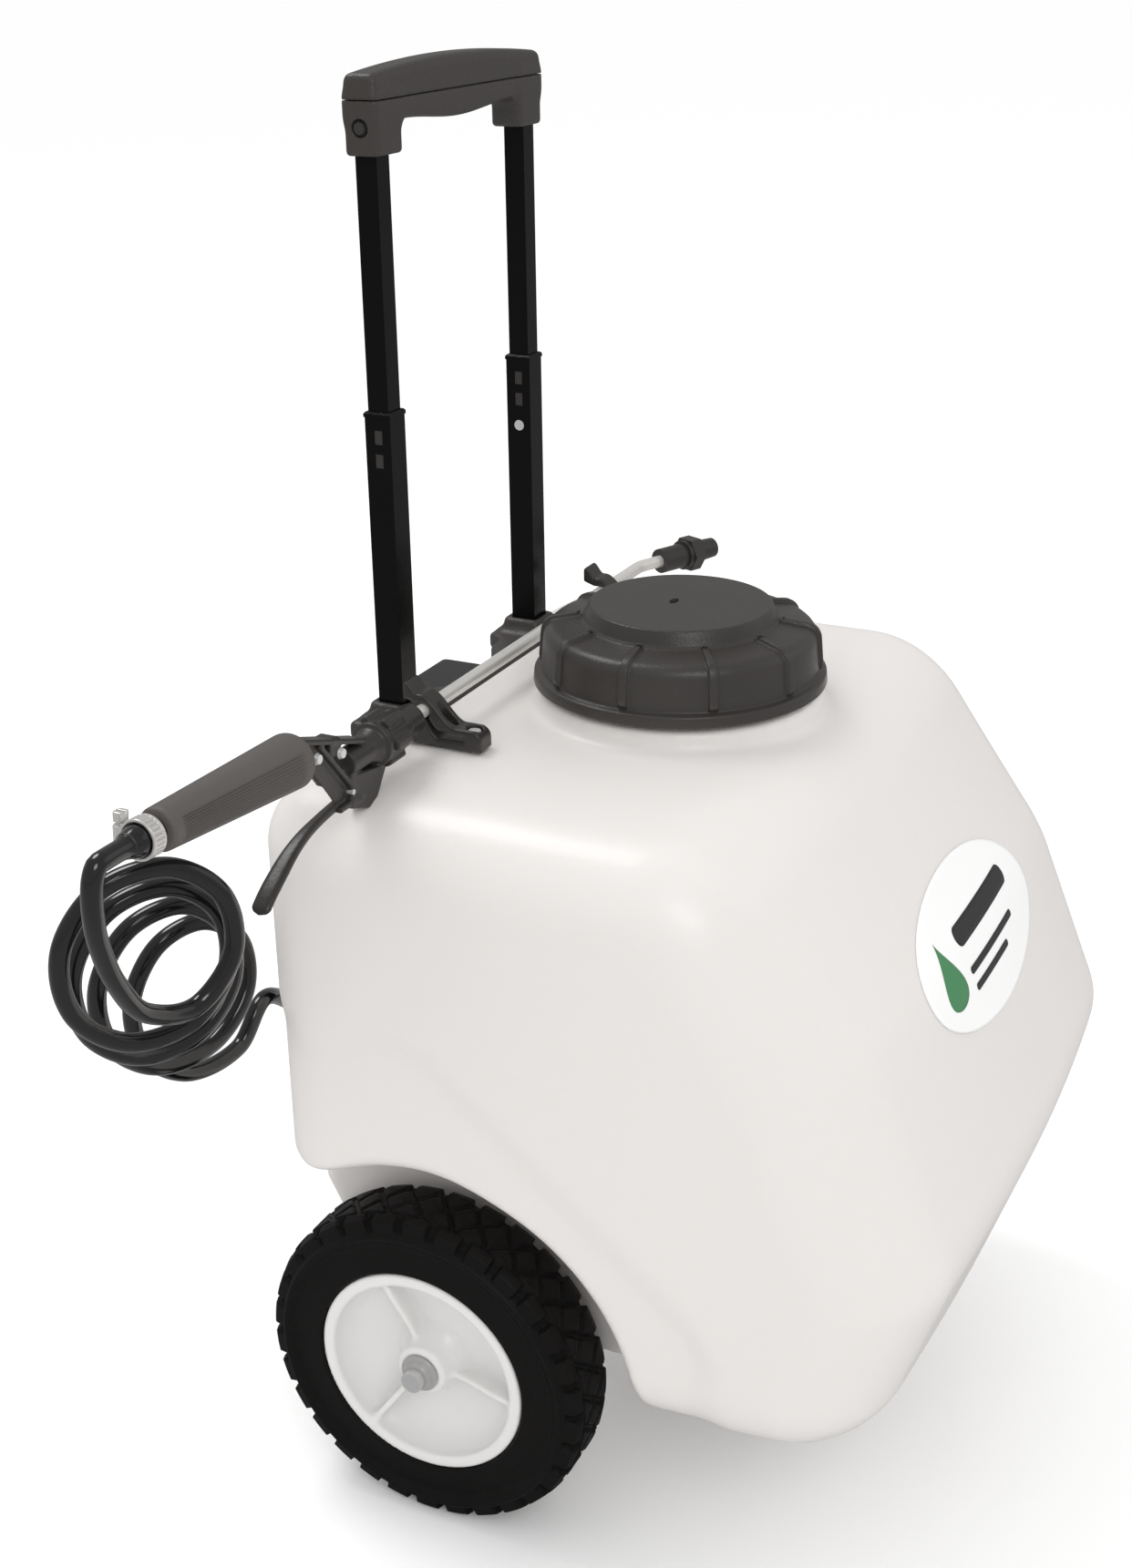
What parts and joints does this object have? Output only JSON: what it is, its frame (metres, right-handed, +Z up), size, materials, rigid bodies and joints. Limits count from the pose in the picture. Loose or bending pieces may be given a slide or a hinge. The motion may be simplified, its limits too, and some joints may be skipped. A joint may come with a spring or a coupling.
{
  "type": "wheeled sprayer cart",
  "caption": "Moulded tank on wheels with telescoping pull handle, ribbed screw lid, 12 V pump, coiled hose and a trigger wand held in snap clips.",
  "frame": {"origin": "middle of the foot pad's rest face, on the ground", "axes": "+X along the axle to the right wheel, -Y the tank's front face with the label, +Y the handle side, +Z up"},
  "size_m": [0.6452, 0.4567, 0.8055],
  "materials": {
    "tank_plastic": "translucent natural moulded polyethylene",
    "label_film": "printed vinyl sticker",
    "lid_plastic": "satin moulded polypropylene",
    "black_plastic": "satin moulded nylon",
    "seal_rubber": "soft black rubber",
    "zinc_steel": "zinc plated steel",
    "axle_steel": "bright drawn steel",
    "hub_plastic": "cream moulded plastic",
    "tyre_rubber": "black tyre rubber",
    "painted_steel": "gloss black powder coat",
    "grip_plastic": "fine textured moulded plastic",
    "gun_plastic": "glass filled nylon",
    "sleeve_rubber": "ribbed dark grey rubber",
    "wand_aluminium": "brushed aluminium tube",
    "hose_rubber": "glossy black hose",
    "stainless": "stainless worm clamp",
    "pump_plastic": "black pump moulding",
    "motor_steel": "black enamelled motor can",
    "battery_case": "dark grey battery case",
    "strap_web": "woven strap",
    "wire_jacket": "vinyl wire insulation"
  },
  "bodies": {
    "tank": {"tank_shell": "tank_plastic", "front_label": "label_film", "axle": "axle_steel", "axle_saddles": "black_plastic", "saddle_screws": "zinc_steel", "axle_spacers": "black_plastic", "axle_washers": "zinc_steel", "axle_caps": "zinc_steel", "front_leg": "black_plastic", "leg_pad": "seal_rubber", "leg_screws": "zinc_steel", "handle_base": "grip_plastic", "base_screws": "zinc_steel", "guide_tubes": "painted_steel", "wand_clips": "gun_plastic", "clip_screws": "zinc_steel", "delivery_hose": "hose_rubber", "pump_bracket": "painted_steel", "bracket_screws": "zinc_steel", "pump_head": "pump_plastic", "pump_motor": "motor_steel", "battery": "battery_case", "battery_strap": "strap_web", "switch_housing": "black_plastic", "suction_fitting": "black_plastic", "suction_nut": "black_plastic", "pickup_strainer": "hub_plastic", "suction_hose": "hose_rubber", "wires": "wire_jacket"},
    "wheel_left": {"hub_left": "hub_plastic", "tyre_left": "tyre_rubber"},
    "wheel_right": {"hub_right": "hub_plastic", "tyre_right": "tyre_rubber"},
    "handle_mid": {"mid_tubes": "painted_steel", "mid_collars": "black_plastic", "latch_keys": "black_plastic", "mid_screws": "zinc_steel"},
    "handle_top": {"upper_tubes": "painted_steel", "upper_plugs": "black_plastic", "grip_lower": "grip_plastic", "grip_upper": "grip_plastic", "grip_screws": "zinc_steel"},
    "lid_ring": {"lid_gasket": "seal_rubber"},
    "lid": {"filler_lid": "lid_plastic"},
    "spray_gun": {"gun_body": "gun_plastic", "gun_grip": "sleeve_rubber", "gun_screws": "zinc_steel", "trigger_pin": "zinc_steel", "valve_spring": "zinc_steel", "wand_nut": "gun_plastic", "wand_tube": "wand_aluminium", "nozzle_body": "gun_plastic", "nozzle_nut": "gun_plastic", "hose_clamp": "stainless", "hose_gun_end": "hose_rubber"},
    "trigger": {"trigger": "gun_plastic"},
    "valve": {"valve_stem": "zinc_steel"},
    "nozzle": {"nozzle_tip": "gun_plastic"},
    "rocker": {"rocker_switch": "gun_plastic"}
  },
  "joints": [
    {"name": "wheel_left_spin", "type": "hinge", "parent": "tank", "child": "wheel_left", "pos_m": [-0.193, 0.14, 0.1016], "axis": [1, 0, 0], "continuous": true},
    {"name": "wheel_right_spin", "type": "hinge", "parent": "tank", "child": "wheel_right", "pos_m": [0.193, 0.14, 0.1016], "axis": [1, 0, 0], "continuous": true},
    {"name": "handle_mid_slide", "type": "slide", "parent": "tank", "child": "handle_mid", "axis": [0, 0, 1], "range_m": [-0.16, 0]},
    {"name": "handle_top_slide", "type": "slide", "parent": "handle_mid", "child": "handle_top", "axis": [0, 0, 1], "range_m": [-0.125, 0]},
    {"name": "lid_lift", "type": "slide", "parent": "tank", "child": "lid_ring", "axis": [0, 0, 1], "range_m": [0, 0.018]},
    {"name": "lid_turn", "type": "hinge", "parent": "lid_ring", "child": "lid", "pos_m": [0, 0.072, 0.49], "axis": [0, 0, 1], "range_deg": [0, 1080]},
    {"name": "gun_unclip", "type": "slide", "parent": "tank", "child": "spray_gun", "axis": [0, 1, 0], "range_m": [0, 0.025]},
    {"name": "trigger_pull", "type": "hinge", "parent": "spray_gun", "child": "trigger", "pos_m": [-0.205, 0.1735, 0.457], "axis": [0, 1, 0], "range_deg": [0, 22]},
    {"name": "valve_push", "type": "slide", "parent": "spray_gun", "child": "valve", "axis": [1, 0, 0], "range_m": [0, 0.0065]},
    {"name": "nozzle_turn", "type": "hinge", "parent": "spray_gun", "child": "nozzle", "pos_m": [0.21956, 0.15143, 0.4716], "axis": [0.9135, -0.4067, 0], "range_deg": [0, 360]},
    {"name": "switch_tip", "type": "hinge", "parent": "tank", "child": "rocker", "pos_m": [0.059, 0.238, 0.384], "axis": [1, 0, 0], "range_deg": [-8, 8]}
  ],
  "couplings": [
    {"joint": "lid_lift", "follows": "lid_turn", "m_per_rad": 0.00095493},
    {"joint": "valve_push", "follows": "trigger_pull", "m_per_rad": 0.0165}
  ]
}
